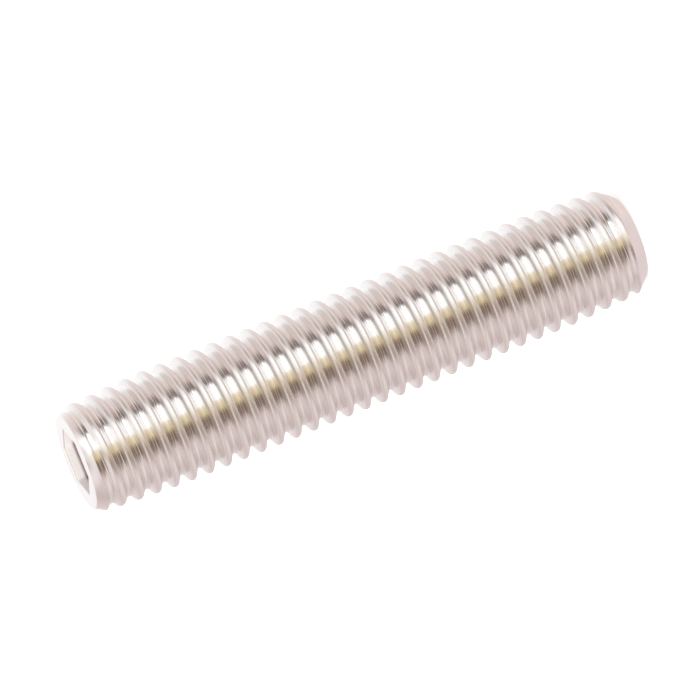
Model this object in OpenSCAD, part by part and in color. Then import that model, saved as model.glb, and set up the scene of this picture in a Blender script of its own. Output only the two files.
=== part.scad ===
// A headless, fully threaded set screw, turned and rolled in one piece.
// It stands on its flat point, and a hexagon socket opens in its upper end.
// The origin is at the centre of the point's flat face, with Z along the axis.

/* [Thread] */
// Nominal diameter of the thread
thread_d = 8; // [7.6:0.1:10]
// Distance from one turn of the thread to the next
pitch = 1.25; // [1.1:0.05:1.5]
// Amount by which the crests' diameter stays under the nominal one
crest_allowance = 0.06; // [0.04:0.02:0.24]
// Width of the flat that runs along the crest
crest_flat = 0.2; // [0.12:0.02:0.3]
// Width of the flat that runs along the bottom of the groove
root_flat = 0.28; // [0.12:0.02:0.32]
// Angle between the two flanks of the thread
flank_angle = 60; // [55:1:62]
// Height above the point at which the first whole crest passes +X
thread_start = 0.1; // [0:0.05:1]
// Facets in one turn of the thread
turn_facets = 32; // [20:2:36]

/* [Length and ends] */
// Overall length, from the point to the socket's face
length = 40; // [20:1:50]
// Diameter of the flat point that the screw stands on
point_d = 5.5; // [4:0.1:6]
// Angle between the axis and the chamfer behind the point
point_angle = 45; // [35:1:55]
// Diameter of the flat face around the socket
face_d = 6.5; // [6:0.1:7]
// Angle between the axis and the chamfer behind that face
face_angle = 30; // [25:1:55]
// Length over which the rolled crests rise to their full height at each end
lead_in = 6; // [3:0.5:8]
// Amount by which the rolled crests' radius is short at the very ends
lead_drop = 0.3; // [0.05:0.05:0.35]

/* [Socket] */
// Distance across the flats of the hexagon socket
socket_af = 4; // [3:0.1:4.2]
// Depth of the socket's flat walls
socket_depth = 5; // [3:0.5:8]
// Turn of the hexagon about the axis, from a corner at +X
socket_turn = 0; // [0:5:60]
// Angle of the drill's cone at the socket's bottom
drill_angle = 120; // [90:5:130]

/* [Hidden] */
round_facets = 96;
crest_r = (thread_d - crest_allowance) / 2;
flank_slope = tan(flank_angle / 2);
root_r = crest_r - (pitch - crest_flat - root_flat) / 2 / flank_slope;
turns = ceil(length / pitch) + 2;
steps = turns * turn_facets;
corners = 4;
outside = pitch;
socket_r = socket_af / 2 / cos(30);
drill_slope = tan(drill_angle / 2);

// The crest's radius at a height: the blank's ends are not filled by the rolling.
function crest_at(z) =
    crest_r - lead_drop * (1 - min(1, max(0, min(z, length - z)) / lead_in));

// Corners of the thread's section around a crest at a height, as [radius, rise].
function section(z) =
    let (top = crest_at(z), half_crest = crest_flat / 2 + (crest_r - top) * flank_slope,
         half_base = (pitch - root_flat) / 2)
    [[root_r, -half_base], [top, -half_crest], [top, half_crest], [root_r, half_base]];

function on_helix(step, corner) =
    let (turn = step / turn_facets, angle = 360 * turn, z = pitch * (turn - 1) + thread_start,
         place = section(z)[corner])
    [place[0] * cos(angle), place[0] * sin(angle), z + place[1]];

function spot(step, corner) =
    corner < corners ? step * corners + corner : (step + turn_facets) * corners;

function strip(from, to, corner) = [
    for (step = [from : to - 1], half = [0, 1])
        half == 0
            ? [spot(step, corner), spot(step, corner + 1), spot(step + 1, corner)]
            : [spot(step + 1, corner), spot(step, corner + 1), spot(step + 1, corner + 1)]
];

// The threaded bar before its ends are cut: one section swept along a right-hand
// helix, whose turns share their edges, closed by a fan at each end.
module threaded_bar() {
    points = [for (step = [0 : steps], corner = [0 : corners - 1]) on_helix(step, corner)];
    low_tip = len(points);
    high_tip = low_tip + 1;
    last = corners - 1;
    first_open = steps - turn_facets;
    walls = [
        for (corner = [0 : last - 1]) each strip(0, steps, corner),
        each strip(0, first_open, last)
    ];
    low_fan = [
        for (step = [0 : turn_facets - 1]) [low_tip, spot(step, 0), spot(step + 1, 0)],
        for (corner = [0 : last]) [low_tip, spot(0, corner + 1), spot(0, corner)]
    ];
    high_fan = [
        for (step = [first_open : steps - 1]) [high_tip, spot(step + 1, last), spot(step, last)],
        for (corner = [0 : last - 1]) [high_tip, spot(steps, corner), spot(steps, corner + 1)],
        [high_tip, spot(first_open, last), spot(steps, 0)]
    ];
    polyhedron(
        points = concat(points, [[0, 0, -2 * pitch], [0, 0, length + 2 * pitch]]),
        faces = concat(walls, low_fan, high_fan),
        convexity = 10
    );
}

// Everything between the two flat ends and inside their chamfers.
module ends_envelope() {
    clear_r = crest_r + outside;
    rotate_extrude($fn = round_facets)
        polygon([
            [0, 0],
            [point_d / 2, 0],
            [clear_r, (clear_r - point_d / 2) / tan(point_angle)],
            [clear_r, length - (clear_r - face_d / 2) / tan(face_angle)],
            [face_d / 2, length],
            [0, length]
        ]);
}

// The hexagon hole, with the drill's cone below it.
module socket() {
    translate([0, 0, length - socket_depth])
        rotate([0, 0, socket_turn])
            cylinder(h = socket_depth + outside, r = socket_r, $fn = 6);
    translate([0, 0, length - socket_depth - socket_af / 2 / drill_slope])
        cylinder(h = socket_af / 2 / drill_slope, r1 = 0, r2 = socket_af / 2, $fn = round_facets);
}

module set_screw() {
    color([0.80, 0.77, 0.75])
        difference() {
            intersection() {
                threaded_bar();
                ends_envelope();
            }
            socket();
        }
}

set_screw();
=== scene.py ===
"""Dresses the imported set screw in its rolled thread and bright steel, and lights it for its picture."""

import math

import bpy
from mathutils import Matrix, Vector


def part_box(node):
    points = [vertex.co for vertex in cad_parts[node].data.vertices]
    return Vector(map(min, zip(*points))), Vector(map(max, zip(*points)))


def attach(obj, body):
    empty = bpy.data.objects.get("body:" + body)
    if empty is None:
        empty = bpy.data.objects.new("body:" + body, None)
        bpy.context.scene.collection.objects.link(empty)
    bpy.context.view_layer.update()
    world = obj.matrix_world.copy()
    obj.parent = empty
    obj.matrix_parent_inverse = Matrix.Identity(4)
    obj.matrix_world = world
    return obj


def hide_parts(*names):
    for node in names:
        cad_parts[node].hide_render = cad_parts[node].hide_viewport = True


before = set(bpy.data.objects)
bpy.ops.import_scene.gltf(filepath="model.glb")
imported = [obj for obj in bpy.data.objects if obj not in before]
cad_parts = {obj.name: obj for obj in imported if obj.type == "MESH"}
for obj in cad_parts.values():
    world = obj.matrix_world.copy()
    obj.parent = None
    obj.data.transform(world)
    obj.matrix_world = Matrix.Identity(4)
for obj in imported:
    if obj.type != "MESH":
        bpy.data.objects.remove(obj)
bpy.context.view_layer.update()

MM = 0.001
LOW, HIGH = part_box("set_screw")

# The screw's sizes, in metres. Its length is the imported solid's, and its crests lie just inside the solid's.
CREST_INSET = 0.003 * MM
LENGTH = HIGH[2] - LOW[2]
CREST_R = (HIGH[0] - LOW[0]) / 2 - CREST_INSET
PITCH = 1.25 * MM
THREAD_START = 0.1 * MM
CREST_ROUNDING = 0.25 * MM
ROOT_ROUNDING = 0.23 * MM
HALF_FLANK = math.radians(30)
LEAD_IN = 6.0 * MM
LEAD_DROP = 0.30 * MM
POINT_R = 2.75 * MM
POINT_ANGLE = math.radians(45)
POINT_ROUNDING = 0.14 * MM
FACE_R = 3.25 * MM
FACE_ANGLE = math.radians(30)
FACE_ROUNDING = 0.08 * MM
SOCKET_AF = 4.0 * MM
SOCKET_DEPTH = 5.0 * MM
SOCKET_EDGE = 0.05 * MM
HALF_DRILL = math.radians(60)
# A hexagon's corners lie this much further out than its flats.
TO_CORNER = 1 / math.cos(math.radians(30))
# The thread is as deep as its sharp profile, less what the two roundings take from it.
SHARP_DEPTH = PITCH / 2 / math.tan(HALF_FLANK)
ROUNDED_AWAY = (CREST_ROUNDING + ROOT_ROUNDING) * (1 / math.sin(HALF_FLANK) - 1)
ROOT_R = CREST_R - SHARP_DEPTH + ROUNDED_AWAY

# How finely the thread and the turned ends are drawn. Two more lines run along each flank, near its edges.
TURN_STEPS = 72
CREST_PARTS = 9
ROOT_PARTS = 7
FLANK_SHARES = (0.14, 0.86)
ARC_PARTS = 3
REVOLVE_STEPS = 192
SHARP_ANGLE = math.radians(32)


def rounded(outline, roundings):
    """An open outline of (radius, height) points, with an arc of its own radius at each inner corner."""
    out = [outline[0]]
    for before, corner, after, rounding in zip(outline, outline[1:], outline[2:], roundings):
        a, b, c = Vector(before), Vector(corner), Vector(after)
        to_a, to_c = (a - b).normalized(), (c - b).normalized()
        half = to_a.angle(to_c) / 2
        centre = b + (to_a + to_c).normalized() * (rounding / math.sin(half))
        start = b + to_a * (rounding / math.tan(half)) - centre
        end = b + to_c * (rounding / math.tan(half)) - centre
        sweep = start.angle(end)
        for part in range(ARC_PARTS + 1):
            share = part / ARC_PARTS
            first = math.sin((1 - share) * sweep) / math.sin(sweep)
            second = math.sin(share * sweep) / math.sin(sweep)
            out.append(tuple(centre + start * first + end * second))
    out.append(outline[-1])
    return out


def thread_section():
    """One pitch of the thread, from the middle of one groove nearly to the next, as (radius, rise).

    The crest and the groove are full arcs, with straight flanks that touch both."""
    crest_centre = CREST_R - CREST_ROUNDING
    root_centre = ROOT_R + ROOT_ROUNDING
    widest = math.pi / 2 - HALF_FLANK
    rising = []
    for part in range(ROOT_PARTS):
        turn = widest * part / (ROOT_PARTS - 1)
        rising.append((root_centre - ROOT_ROUNDING * math.cos(turn),
                       -PITCH / 2 + ROOT_ROUNDING * math.sin(turn)))
    crest = []
    for part in range(CREST_PARTS):
        turn = widest * (2 * part / (CREST_PARTS - 1) - 1)
        crest.append((crest_centre + CREST_ROUNDING * math.cos(turn), CREST_ROUNDING * math.sin(turn)))
    foot, top = Vector(rising[-1]), Vector(crest[0])
    rising += [tuple(foot.lerp(top, share)) for share in FLANK_SHARES]
    falling = [(radius, -rise) for radius, rise in reversed(rising[1:])]
    return rising + crest + falling


def crest_share(height):
    """How much of the thread's depth the crests have at a height, since they start low at each end."""
    from_end = max(0.0, min(height, LENGTH - height))
    return 1 - LEAD_DROP / (CREST_R - ROOT_R) * (1 - min(1.0, from_end / LEAD_IN))


def new_object(name, vertices, faces):
    mesh = bpy.data.meshes.new(name)
    mesh.from_pydata(vertices, [], faces)
    mesh.validate()
    mesh.update()
    thing = bpy.data.objects.new(name, mesh)
    bpy.context.scene.collection.objects.link(thing)
    return thing


def threaded_bar():
    """The section swept along a right-hand helix, past both ends, closed by a fan at each."""
    section = thread_section()
    count = len(section)
    turns = math.ceil(LENGTH / PITCH) + 2
    steps = turns * TURN_STEPS
    vertices = []
    for step in range(steps + 1):
        turn = step / TURN_STEPS
        angle = 2 * math.pi * turn
        middle = PITCH * (turn - 1) + THREAD_START
        share = crest_share(middle)
        for radius, rise in section:
            radius = ROOT_R + (radius - ROOT_R) * share
            vertices.append((radius * math.cos(angle), radius * math.sin(angle), middle + rise))

    def spot(step, corner):
        if corner < count:
            return step * count + corner
        return (step + TURN_STEPS) * count

    faces = []
    for corner in range(count):
        end = steps if corner < count - 1 else steps - TURN_STEPS
        for step in range(end):
            faces.append((spot(step, corner), spot(step + 1, corner),
                          spot(step + 1, corner + 1), spot(step, corner + 1)))
    low = len(vertices)
    vertices.append((0, 0, -2 * PITCH))
    high = len(vertices)
    vertices.append((0, 0, LENGTH + 2 * PITCH))
    last = count - 1
    first_open = steps - TURN_STEPS
    low_rim = [spot(step, 0) for step in range(TURN_STEPS + 1)]
    low_rim += [spot(0, corner) for corner in range(last, -1, -1)]
    for a, b in zip(low_rim, low_rim[1:]):
        faces.append((low, b, a))
    high_rim = [spot(step, last) for step in range(first_open, steps + 1)]
    high_rim += [spot(steps, corner) for corner in range(last - 1, -1, -1)]
    high_rim.append(spot(first_open, last))
    for a, b in zip(high_rim, high_rim[1:]):
        faces.append((high, a, b))
    return new_object("threaded_bar", vertices, faces)


def revolved(name, profile):
    """A closed solid of revolution from (radius, height) points that start and end on the axis."""
    ring = profile[1:-1]
    count = len(ring)
    vertices = [(0, 0, profile[0][1]), (0, 0, profile[-1][1])]
    for step in range(REVOLVE_STEPS):
        angle = 2 * math.pi * step / REVOLVE_STEPS
        vertices += [(r * math.cos(angle), r * math.sin(angle), z) for r, z in ring]
    faces = []
    for step in range(REVOLVE_STEPS):
        here, there = 2 + step * count, 2 + (step + 1) % REVOLVE_STEPS * count
        faces.append((0, there, here))
        faces.append((1, here + count - 1, there + count - 1))
        for i in range(count - 1):
            faces.append((here + i, there + i, there + i + 1, here + i + 1))
    return new_object(name, vertices, faces)


def ends_envelope():
    """Everything between the flat ends and inside their rounded chamfers."""
    clear_r = CREST_R + PITCH
    outline = [
        (0, 0),
        (POINT_R, 0),
        (clear_r, (clear_r - POINT_R) / math.tan(POINT_ANGLE)),
        (clear_r, LENGTH - (clear_r - FACE_R) / math.tan(FACE_ANGLE)),
        (FACE_R, LENGTH),
        (0, LENGTH),
    ]
    roundings = [POINT_ROUNDING, POINT_ROUNDING, POINT_ROUNDING, FACE_ROUNDING]
    return revolved("ends_envelope", rounded(outline, roundings))


def socket_tool():
    """The hexagon hole with a broken edge at its mouth, as a solid to cut with."""
    floor = LENGTH - SOCKET_DEPTH
    levels = [
        (SOCKET_AF / 2 * TO_CORNER, floor),
        (SOCKET_AF / 2 * TO_CORNER, LENGTH - SOCKET_EDGE),
        ((SOCKET_AF / 2 + SOCKET_EDGE + PITCH) * TO_CORNER, LENGTH + PITCH),
    ]
    vertices = []
    for radius, height in levels:
        for i in range(6):
            angle = math.radians(60 * i)
            vertices.append((radius * math.cos(angle), radius * math.sin(angle), height))
    faces = [tuple(range(5, -1, -1)), tuple(range(12, 18))]
    for low in (0, 6):
        faces += [(low + i, low + (i + 1) % 6, low + 6 + (i + 1) % 6, low + 6 + i) for i in range(6)]
    return new_object("socket_tool", vertices, faces)


def drill_tool():
    """The cone that the drill left below the hexagon, as a solid to cut with."""
    radius = SOCKET_AF / 2
    floor = LENGTH - SOCKET_DEPTH
    tip = floor - radius / math.tan(HALF_DRILL)
    return revolved("drill_tool", [(0, tip), (radius, floor), (0, floor)])


def cut(thing, tool, operation):
    """Applies one exact boolean and throws the tool away."""
    modifier = thing.modifiers.new("cut", "BOOLEAN")
    modifier.object = tool
    modifier.operation = operation
    modifier.solver = "EXACT"
    graph = bpy.context.evaluated_depsgraph_get()
    mesh = bpy.data.meshes.new_from_object(thing.evaluated_get(graph))
    thing.modifiers.clear()
    old = thing.data
    thing.data = mesh
    bpy.data.meshes.remove(old)
    spent = tool.data
    bpy.data.objects.remove(tool)
    bpy.data.meshes.remove(spent)


def rolled_screw():
    """The whole screw: the threaded bar, with its ends turned and its socket cut."""
    screw = threaded_bar()
    cut(screw, ends_envelope(), "INTERSECT")
    cut(screw, socket_tool(), "DIFFERENCE")
    cut(screw, drill_tool(), "DIFFERENCE")
    screw.name = "rolled_screw"
    screw.data.name = "rolled_screw"
    screw.data.polygons.foreach_set("use_smooth", [True] * len(screw.data.polygons))
    screw.data.set_sharp_from_angle(angle=SHARP_ANGLE)
    return screw


# The steel's roughness and colour, from the bottom of the groove (0) to the top of the crest (1).
FINISH = [
    (0.00, 0.10, (0.89, 0.88, 0.88)),
    (0.22, 0.11, (0.88, 0.87, 0.87)),
    (0.38, 0.22, (0.88, 0.865, 0.86)),
    (0.72, 0.25, (0.88, 0.865, 0.86)),
    (0.92, 0.35, (0.91, 0.895, 0.89)),
    (1.00, 0.36, (0.93, 0.915, 0.91)),
]
# The rolling marks: how many lie across one pitch, how fast they change along the helix, the part of the
# noise's range that is used, and how much they change the colour and the roughness.
MARKS_A_PITCH = 16.0
MARKS_CHANGE = 0.5 / MM
MARKS_RANGE = (0.3, 0.7)
MARKS_TONES = (0.975, 1.02)
MARKS_ROUGHNESS = 0.06
# The turned ends, with their fine rings, and the rough socket.
TURNED_TONE = (0.91, 0.885, 0.885, 1)
TURNED_ROUGHNESS = 0.20
RING_STEP = 0.26 * MM
RING_DEPTH = 0.0006 * MM
SOCKET_ROUGHNESS = 0.5
SOCKET_METAL = 0.2
# How far the turned finish reaches in from a surface, and the width over which two finishes blend.
FACE_REACH = 0.02 * MM
CHAMFER_REACH = 0.025 * MM
FINISH_BLEND = 0.01 * MM
# Colours of the socket's walls at depths below the face, in millimetres: pale near the mouth, then painted
# shade from 0.68 mm down, darkest near 0.9 mm, for the recess's shadowed depth.
SOCKET_PAINTED_SHADE = [
    (0.00, (0.92, 0.90, 0.90)),
    (0.08, (0.98, 0.96, 0.96)),
    (0.52, (0.98, 0.96, 0.96)),
    (0.68, (0.40, 0.32, 0.31)),
    (0.90, (0.20, 0.14, 0.13)),
    (2.00, (0.60, 0.56, 0.55)),
    (5.00, (0.60, 0.56, 0.55)),
]


class Nodes:
    """A short way to write a node tree. An input goes by its name, or by i and its number."""

    def __init__(self, tree):
        self.tree = tree
        tree.nodes.clear()

    def add(self, kind, settings=None, **inputs):
        node = self.tree.nodes.new("ShaderNode" + kind)
        for key, value in (settings or {}).items():
            setattr(node, key, value)
        for key, value in inputs.items():
            name = int(key[1:]) if key[0] == "i" and key[1:].isdigit() else key.replace("_", " ")
            socket = node.inputs[name]
            if isinstance(value, bpy.types.NodeSocket):
                self.tree.links.new(value, socket)
            else:
                socket.default_value = value
        return node

    def math(self, operation, *values):
        inputs = {f"i{i}": value for i, value in enumerate(values)}
        return self.add("Math", {"operation": operation}, **inputs).outputs[0]

    def mix(self, factor, first, second, blend="MIX"):
        settings = {"data_type": "RGBA", "blend_type": blend}
        return self.add("Mix", settings, i0=factor, i6=first, i7=second).outputs[2]

    def past(self, value, limit):
        """0 up to a limit and 1 just past it."""
        return self.add("MapRange", Value=value, From_Min=limit, From_Max=limit + FINISH_BLEND).outputs[0]

    def ramp(self, factor, stops):
        node = self.add("ValToRGB", i0=factor)
        elements = node.color_ramp.elements
        while len(elements) < len(stops):
            elements.new(0.5)
        for element, (place, colour) in zip(elements, stops):
            element.position = place
            element.color = (*colour, 1)
        return node.outputs[0]


def rolled_finish(n, x, y, z, radius, from_end):
    """The thread's colour and roughness: smooth in the groove, duller on the flanks, worn on the crests."""
    short = n.math("SUBTRACT", 1.0, n.math("MINIMUM", n.math("DIVIDE", from_end, LEAD_IN), 1.0))
    depth = n.math("MULTIPLY_ADD", short, -LEAD_DROP, CREST_R - ROOT_R)
    height = n.math("DIVIDE", n.math("SUBTRACT", radius, ROOT_R), depth)
    tone = n.ramp(height, [(place, colour) for place, _, colour in FINISH])
    roughness = n.ramp(height, [(place, (value,) * 3) for place, value, _ in FINISH])

    # Rolling marks run along the helix and change slowly round it.
    turn = n.math("DIVIDE", n.math("ARCTAN2", y, x), 2 * math.pi)
    section = n.math("FRACT", n.math("SUBTRACT", n.math("DIVIDE", z, PITCH), turn))
    across = n.math("MULTIPLY_ADD", section, MARKS_A_PITCH, n.math("MULTIPLY", z, MARKS_CHANGE))
    where = n.add("CombineXYZ", X=n.math("MULTIPLY", x, MARKS_CHANGE),
                  Y=n.math("MULTIPLY", y, MARKS_CHANGE), Z=across)
    marks = n.add("TexNoise", Vector=where.outputs[0], Scale=1.0, Detail=2.0).outputs[0]
    lighter = n.add("MapRange", Value=marks, From_Min=MARKS_RANGE[0], From_Max=MARKS_RANGE[1],
                    To_Min=MARKS_TONES[0], To_Max=MARKS_TONES[1]).outputs[0]
    tone = n.add("VectorMath", {"operation": "SCALE"}, i0=tone, Scale=lighter).outputs[0]
    roughness = n.math("MULTIPLY_ADD", n.math("SUBTRACT", marks, 0.5), MARKS_ROUGHNESS, roughness)
    return tone, roughness


def turned_part(n, radius, z, down, from_end):
    """1 on the flat ends and their chamfers, and 0 on the thread."""
    def outside_cone(end_radius, angle, rise):
        """How far outside a chamfer's cone: 0 on the chamfer, and negative on the thread behind it."""
        cone = n.math("MULTIPLY", rise, math.tan(angle))
        return n.math("SUBTRACT", n.math("SUBTRACT", radius, end_radius), cone)

    face = n.past(n.math("MULTIPLY", from_end, -1.0), -FACE_REACH)
    point = n.past(outside_cone(POINT_R, POINT_ANGLE, z), -CHAMFER_REACH)
    mouth = n.past(outside_cone(FACE_R, FACE_ANGLE, down), -CHAMFER_REACH)
    return n.math("MAXIMUM", face, n.math("MAXIMUM", point, mouth))


def socket_part(n, radius, down):
    """1 on the socket's walls and cone, below its broken edge, and 0 elsewhere on the screw's surface."""
    within = n.math("SUBTRACT", 1.0, n.past(radius, SOCKET_AF / 2 * TO_CORNER))
    upper_half = n.past(n.math("MULTIPLY", down, -1.0), -LENGTH / 2)
    return n.math("MULTIPLY", n.math("MULTIPLY", within, n.past(down, SOCKET_EDGE)), upper_half)


def steel():
    """Bright rolled steel, with turned ends and a rough socket whose walls carry painted shade that darkens
    with depth.
    """
    material = bpy.data.materials.new("rolled_steel")
    material.use_nodes = True
    n = Nodes(material.node_tree)
    x, y, z = n.add("SeparateXYZ", i0=n.add("TexCoord").outputs["Object"]).outputs
    radius = n.math("SQRT", n.math("ADD", n.math("MULTIPLY", x, x), n.math("MULTIPLY", y, y)))
    down = n.math("SUBTRACT", LENGTH, z)
    from_end = n.math("MINIMUM", z, down)
    tone, roughness = rolled_finish(n, x, y, z, radius, from_end)
    turned = turned_part(n, radius, z, down, from_end)
    inside = socket_part(n, radius, down)

    rings = n.math("SINE", n.math("MULTIPLY", radius, 2 * math.pi / RING_STEP))
    bump = n.add("Bump", Strength=1.0, Distance=RING_DEPTH, Height=n.math("MULTIPLY", rings, turned))
    # Painted shade in the socket: its walls' colour darkens with depth below the face.
    walls = n.ramp(n.math("DIVIDE", down, SOCKET_DEPTH),
                   [(depth * MM / SOCKET_DEPTH, colour) for depth, colour in SOCKET_PAINTED_SHADE])
    tone = n.mix(inside, n.mix(turned, tone, TURNED_TONE), walls)
    roughness = n.add("Mix", i0=turned, i2=roughness, i3=TURNED_ROUGHNESS).outputs[0]
    roughness = n.add("Mix", i0=inside, i2=roughness, i3=SOCKET_ROUGHNESS).outputs[0]
    metallic = n.math("MULTIPLY_ADD", inside, SOCKET_METAL - 1.0, 1.0)
    shader = n.add("BsdfPrincipled", Base_Color=tone, Metallic=metallic, Roughness=roughness,
                   Normal=bump.outputs[0])
    n.add("OutputMaterial", i0=shader.outputs[0])
    return material


# The studio, as seen round the screw: azimuth in degrees from the camera towards +X, and a colour. One row is
# at the screw's level, one below it and one above it, and a single colour lies straight down.
LEVEL = [
    (-180, (1.04, 1.02, 1.02)),
    (-170, (0.90, 0.84, 0.83)),
    (-150, (0.76, 0.66, 0.645)),
    (-120, (0.70, 0.58, 0.56)),
    (-100, (0.80, 0.68, 0.66)),
    (-85, (0.88, 0.76, 0.73)),
    (-58, (0.87, 0.75, 0.715)),
    (-47, (0.57, 0.45, 0.41)),
    (-39, (0.28, 0.21, 0.175)),
    (-23, (0.24, 0.165, 0.125)),
    (-16, (0.42, 0.31, 0.20)),
    (-10, (0.76, 0.61, 0.37)),
    (2, (0.94, 0.80, 0.57)),
    (9, (1.06, 0.97, 0.81)),
    (12, (1.38, 1.36, 1.33)),
    (48, (1.38, 1.36, 1.33)),
    (54, (0.38, 0.32, 0.30)),
    (59, (0.24, 0.20, 0.19)),
    (71, (0.31, 0.25, 0.225)),
    (82, (0.64, 0.54, 0.50)),
    (90, (0.76, 0.65, 0.61)),
    (105, (0.82, 0.71, 0.67)),
    (130, (0.90, 0.84, 0.82)),
    (146, (1.03, 1.02, 1.02)),
    (168, (1.08, 1.07, 1.07)),
    (180, (1.04, 1.02, 1.02)),
]
BELOW = [
    (-180, (0.80, 0.71, 0.70)),
    (-120, (0.80, 0.69, 0.66)),
    (-80, (0.86, 0.74, 0.70)),
    (-67, (0.76, 0.65, 0.61)),
    (-55, (0.44, 0.36, 0.32)),
    (-38, (0.38, 0.30, 0.26)),
    (-20, (0.42, 0.33, 0.23)),
    (-8, (0.72, 0.58, 0.38)),
    (6, (0.90, 0.77, 0.56)),
    (14, (1.20, 1.14, 1.06)),
    (42, (1.20, 1.18, 1.16)),
    (50, (0.50, 0.46, 0.46)),
    (58, (0.42, 0.36, 0.34)),
    (66, (0.54, 0.44, 0.41)),
    (74, (0.92, 0.77, 0.71)),
    (110, (0.96, 0.81, 0.75)),
    (180, (0.80, 0.71, 0.70)),
]
ABOVE = [
    (-180, (1.00, 0.98, 0.97)),
    (-140, (0.80, 0.72, 0.70)),
    (-110, (0.88, 0.80, 0.79)),
    (-60, (0.95, 0.88, 0.88)),
    (0, (1.00, 0.95, 0.93)),
    (10, (1.40, 1.37, 1.34)),
    (48, (1.40, 1.38, 1.36)),
    (62, (1.02, 0.97, 0.97)),
    (100, (0.93, 0.87, 0.87)),
    (130, (0.80, 0.74, 0.72)),
    (180, (1.00, 0.98, 0.97)),
]
NADIR = (0.84, 0.73, 0.73)
# Heights in degrees over which the rows of bands give way to one another.
BELOW_RISE = (-11.0, -27.0)
ABOVE_RISE = (38.0, 48.0)
NADIR_RISE = (-60.0, -74.0)
# The shades below multiply a row's colours by azimuth, from one height to another.
# The softbox is dimmer in what looks far down, and there is a gap between it and its ceiling.
DEEP_SHADE = [(-6, 1.0), (14, 0.42), (44, 0.42), (54, 1.0)]
DEEP_RISE = (-34.0, -46.0)
GAP_SHADE = [(-4, 1.0), (12, 0.42), (46, 0.42), (58, 1.0)]
GAP_RISE = (52.0, 57.0)
GAP_END = (64.0, 70.0)
# The ceiling is darker beside the softbox, on its -X side.
TOP_SHADE = [
    (-66, (1.00, 1.00, 1.00)),
    (-48, (0.46, 0.38, 0.34)),
    (-20, (0.42, 0.33, 0.25)),
    (-8, (0.76, 0.66, 0.46)),
    (6, (1.00, 1.00, 1.00)),
]
TOP_RISE = (54.0, 60.0)
# The wall on the -X side is darker above the screw's level.
SIDE_SHADE = [(-130, 1.0), (-108, 0.82), (-56, 0.80), (-46, 1.0)]
SIDE_RISE = (4.0, 17.0)


def studio_world():
    """White for the camera itself, and the studio's bands for everything that the screw reflects."""
    world = bpy.data.worlds.new("studio")
    bpy.context.scene.world = world
    world.use_nodes = True
    n = Nodes(world.node_tree)
    direction = n.add("SeparateXYZ", i0=n.add("TexCoord").outputs["Generated"])
    azimuth = n.math("ARCTAN2", direction.outputs[0], n.math("MULTIPLY", direction.outputs[1], -1.0))
    circle_share = n.math("MULTIPLY_ADD", azimuth, 0.5 / math.pi, 0.5)

    def row(stops):
        return n.ramp(circle_share, [(place / 360 + 0.5, colour) for place, colour in stops])

    def grey_row(stops):
        return row([(place, (level,) * 3) for place, level in stops])

    def risen(limits):
        start, end = (math.sin(math.radians(angle)) for angle in limits)
        return n.add("MapRange", {"interpolation_type": "SMOOTHSTEP"}, Value=direction.outputs[2],
                     From_Min=start, From_Max=end).outputs[0]

    level = n.mix(risen(SIDE_RISE), row(LEVEL), grey_row(SIDE_SHADE), "MULTIPLY")
    below = n.mix(risen(DEEP_RISE), row(BELOW), grey_row(DEEP_SHADE), "MULTIPLY")
    in_gap = n.math("SUBTRACT", risen(GAP_RISE), risen(GAP_END))
    above = n.mix(in_gap, row(ABOVE), grey_row(GAP_SHADE), "MULTIPLY")
    above = n.mix(risen(TOP_RISE), above, row(TOP_SHADE), "MULTIPLY")
    colour = n.mix(risen(BELOW_RISE), level, below)
    colour = n.mix(risen(ABOVE_RISE), colour, above)
    colour = n.mix(risen(NADIR_RISE), colour, (*NADIR, 1))
    around = n.add("Background", Color=colour, Strength=1.0)
    white = n.add("Background", Color=(1, 1, 1, 1), Strength=1.0)
    path = n.add("LightPath")
    shown = n.add("MixShader", i0=path.outputs["Is Camera Ray"], i1=around.outputs[0], i2=white.outputs[0])
    n.add("OutputWorld", i0=shown.outputs[0])


# The floor glows a little for the camera alone, which whitens it and keeps its shadow.
FLOOR_HALF = 1.5
FLOOR_TONE = (0.86, 0.86, 0.86, 1)
FLOOR_GLOW = 0.5
# The one lamp, with its power in watts.
KEY_PLACE = (-0.35, -0.45, 0.75)
KEY_SIZE = 0.5
KEY_POWER = 9.0
# Light goes from flank to flank several times before it leaves a groove.
GLOSSY_BOUNCES = 12


def floor():
    """The pale surface that the screw stands on, which the metal doesn't reflect."""
    corners = [(-FLOOR_HALF, -FLOOR_HALF, 0), (FLOOR_HALF, -FLOOR_HALF, 0),
               (FLOOR_HALF, FLOOR_HALF, 0), (-FLOOR_HALF, FLOOR_HALF, 0)]
    plane = new_object("floor", corners, [(0, 1, 2, 3)])
    material = bpy.data.materials.new("pale_floor")
    material.use_nodes = True
    n = Nodes(material.node_tree)
    paint = n.add("BsdfDiffuse", Color=FLOOR_TONE)
    glow = n.add("Emission", Color=(1, 1, 1, 1), Strength=FLOOR_GLOW)
    seen = n.add("MixShader", i0=n.add("LightPath").outputs["Is Camera Ray"], i2=glow.outputs[0])
    both = n.add("AddShader", i0=paint.outputs[0], i1=seen.outputs[0])
    n.add("OutputMaterial", i0=both.outputs[0])
    plane.data.materials.append(material)
    plane.visible_glossy = False


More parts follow.
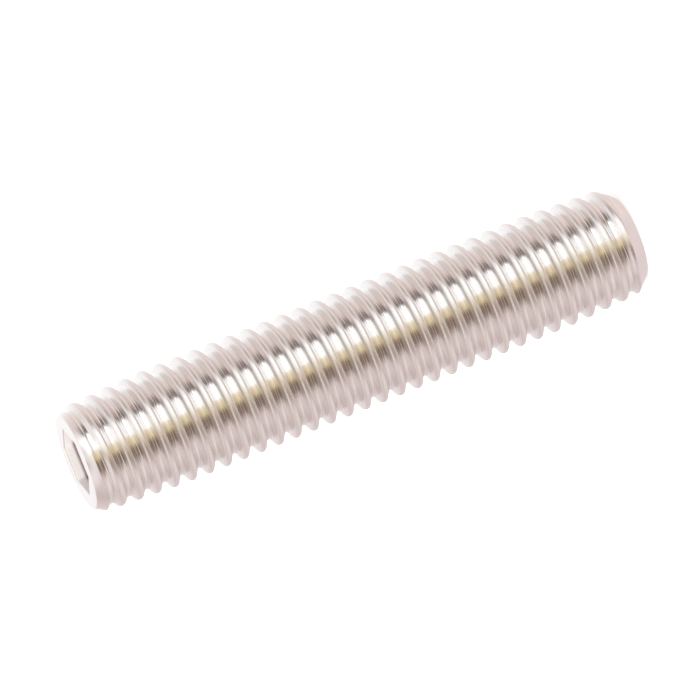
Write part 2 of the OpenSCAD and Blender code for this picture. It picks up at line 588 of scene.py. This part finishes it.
def key_lamp():
    """One large soft lamp above the camera, to its -X side, aimed at the screw's upper end."""
    light = bpy.data.lights.new("key", "AREA")
    light.shape = "DISK"
    light.size = KEY_SIZE
    light.energy = KEY_POWER
    thing = bpy.data.objects.new("key", light)
    thing.location = KEY_PLACE
    aim = Vector((0, 0, LENGTH)) - Vector(KEY_PLACE)
    thing.rotation_euler = aim.to_track_quat("-Z", "Y").to_euler()
    thing.visible_camera = False
    thing.visible_glossy = False
    bpy.context.scene.collection.objects.link(thing)


# The photograph's view: the axis runs down to the left in the picture, where the socket end is nearer.
CAMERA_RISE = math.radians(12.4)
PICTURE_ANGLE = math.radians(22.145)
CAMERA_DISTANCE = 0.70
SENSOR_WIDTH = 36
CLIP_START, CLIP_END = 0.05, 5
# How large the screw is in the picture, and where its middle lies.
PICTURE_WIDTH = 700
PIXELS_PER_METRE = 15296.0
CENTRE_PIXEL = (354.56, 349.2)


def camera():
    data = bpy.data.cameras.new("camera")
    thing = bpy.data.objects.new("camera", data)
    bpy.context.scene.collection.objects.link(thing)
    bpy.context.scene.camera = thing
    data.sensor_width = SENSOR_WIDTH
    data.lens = SENSOR_WIDTH * CAMERA_DISTANCE / (PICTURE_WIDTH / PIXELS_PER_METRE)
    data.clip_start = CLIP_START
    data.clip_end = CLIP_END
    look = Vector((0, math.cos(CAMERA_RISE), -math.sin(CAMERA_RISE)))
    axis = Vector((0, math.sin(CAMERA_RISE), math.cos(CAMERA_RISE)))
    along, across = -axis, Vector((1, 0, 0))
    right = along * math.cos(PICTURE_ANGLE) - across * math.sin(PICTURE_ANGLE)
    up = along * math.sin(PICTURE_ANGLE) + across * math.cos(PICTURE_ANGLE)
    off_x = (CENTRE_PIXEL[0] - PICTURE_WIDTH / 2) / PIXELS_PER_METRE
    off_y = (PICTURE_WIDTH / 2 - CENTRE_PIXEL[1]) / PIXELS_PER_METRE
    place = Vector((0, 0, LENGTH / 2)) - look * CAMERA_DISTANCE - right * off_x - up * off_y
    turn = Matrix((right, up, -look)).transposed().to_4x4()
    thing.matrix_world = Matrix.Translation(place) @ turn


bpy.context.scene.view_settings.view_transform = "Standard"
bpy.context.scene.cycles.glossy_bounces = GLOSSY_BOUNCES
camera()
studio_world()
floor()
key_lamp()

screw = rolled_screw()
screw.data.materials.append(steel())
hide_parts("set_screw")
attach(screw, "root")
